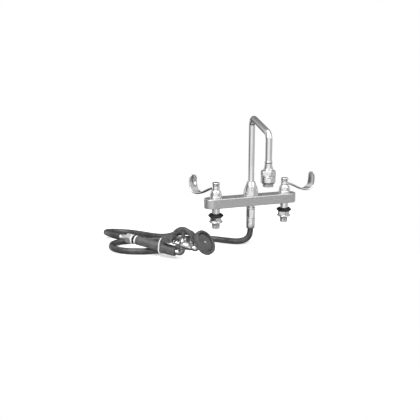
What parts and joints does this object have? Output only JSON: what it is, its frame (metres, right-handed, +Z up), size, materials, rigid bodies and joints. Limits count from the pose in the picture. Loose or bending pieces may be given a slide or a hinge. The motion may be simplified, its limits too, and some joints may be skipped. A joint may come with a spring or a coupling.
{
  "type": "pre-rinse faucet",
  "caption": "Deck-mounted mixing faucet with wrist-blade handles, a swinging gooseneck spout with a hose-thread outlet, and a lever spray valve on a flexible rubber hose.",
  "frame": {"origin": "centre of the mixing bar's underside, which stands on the deck", "axes": "+X along the bar towards the right-hand valve, -Y towards the user, +Z up along the spout riser"},
  "size_m": [0.5741, 0.3983, 0.346],
  "materials": {
    "chrome": "polished chrome plate on brass",
    "satin_chrome": "satin chrome plate on the cast bar",
    "brass": "machined brass",
    "steel": "spring and stainless steel",
    "black_rubber": "moulded black rubber",
    "hose_rubber": "smooth extruded dark grey rubber",
    "grey_plastic": "moulded dark grey grip and lever coating",
    "dark_rubber": "moulded dark grey bumper rubber",
    "light_plastic": "off-white nylon",
    "ceramic": null
  },
  "bodies": {
    "faucet": {"faucet_body": "satin_chrome", "left_inlet_shank": "chrome", "right_inlet_shank": "chrome", "deck_gaskets": "black_rubber", "locknuts": "chrome", "bonnet_rings": "chrome", "left_bonnet": "chrome", "right_bonnet": "chrome", "left_cartridge": "brass", "right_cartridge": "brass", "seat_discs": "ceramic", "spout_bonnet": "chrome", "diverter_spring": "steel", "hose_nipple": "chrome", "hose_collar": "chrome", "hose_nut": "chrome", "hose_ferrule": "chrome", "spray_hose": "hose_rubber", "swivel_tube": "chrome", "swivel_nut": "chrome", "swivel_flange": "light_plastic", "swivel_washer": "black_rubber", "back_plug": "chrome", "grip_ring": "light_plastic", "grip_tube": "chrome", "grip_sleeve": "grey_plastic", "grip_collar": "grey_plastic", "spray_body": "chrome", "valve_seat": "black_rubber", "valve_spring": "steel", "stem_bonnet": "chrome", "lever_pin": "steel", "neck_nut": "chrome", "spray_head": "chrome", "spray_face": "dark_rubber", "face_screw": "steel", "spray_bumper": "dark_rubber"},
    "left_handle": {"left_handle": "chrome", "left_handle_cap": "chrome", "left_stem": "brass", "left_turning_disc": "ceramic"},
    "right_handle": {"right_handle": "chrome", "right_handle_cap": "chrome", "right_stem": "brass", "right_turning_disc": "ceramic"},
    "spout": {"spout_tube": "chrome", "spout_retainer": "light_plastic", "spout_seals": "black_rubber", "spout_adapter": "chrome", "breaker_collar": "chrome", "breaker_body": "chrome", "breaker_seat": "black_rubber", "outlet_nipple": "satin_chrome"},
    "breaker_poppet": {"breaker_poppet": "light_plastic"},
    "diverter_poppet": {"diverter_poppet": "brass"},
    "squeeze_lever": {"squeeze_lever": "grey_plastic"},
    "valve_stem": {"valve_stem": "grey_plastic"},
    "hold_ring": {"hold_ring": "light_plastic"}
  },
  "joints": [
    {"name": "left_handle_turn", "type": "hinge", "parent": "faucet", "child": "left_handle", "pos_m": [-0.1016, 0, 0.05], "axis": [0, 0, 1], "range_deg": [-20, 70]},
    {"name": "right_handle_turn", "type": "hinge", "parent": "faucet", "child": "right_handle", "pos_m": [0.1016, 0, 0.05], "axis": [0, 0, 1], "range_deg": [-8, 82]},
    {"name": "spout_swing", "type": "hinge", "parent": "faucet", "child": "spout", "pos_m": [0, 0, 0.05], "axis": [0, 0, 1], "continuous": true},
    {"name": "breaker_lift", "type": "slide", "parent": "spout", "child": "breaker_poppet", "axis": [0, 0, 1], "range_m": [0, 0.004]},
    {"name": "diverter_lift", "type": "slide", "parent": "faucet", "child": "diverter_poppet", "axis": [0, 0, 1], "range_m": [0, 0.003], "stiffness_N_per_m": 200, "springref_m": -0.002, "deforming": ["diverter_spring"]},
    {"name": "lever_squeeze", "type": "hinge", "parent": "faucet", "child": "squeeze_lever", "pos_m": [-0.20235, -0.09377, -0.05793], "axis": [-0.7474, -0.6607, -0.0692], "range_deg": [0, 4], "stiffness_Nm_per_rad": 5, "springref_deg": -3.44},
    {"name": "stem_press", "type": "slide", "parent": "faucet", "child": "valve_stem", "axis": [-0.0353, 0.1434, -0.989], "range_m": [0, 0.0018], "deforming": ["valve_spring"]},
    {"name": "hold_ring_slide", "type": "slide", "parent": "faucet", "child": "hold_ring", "axis": [-0.6634, 0.7368, 0.1305], "range_m": [0, 0.012]}
  ],
  "couplings": [
    {"joint": "stem_press", "follows": "lever_squeeze", "m_per_rad": 0.0255}
  ]
}
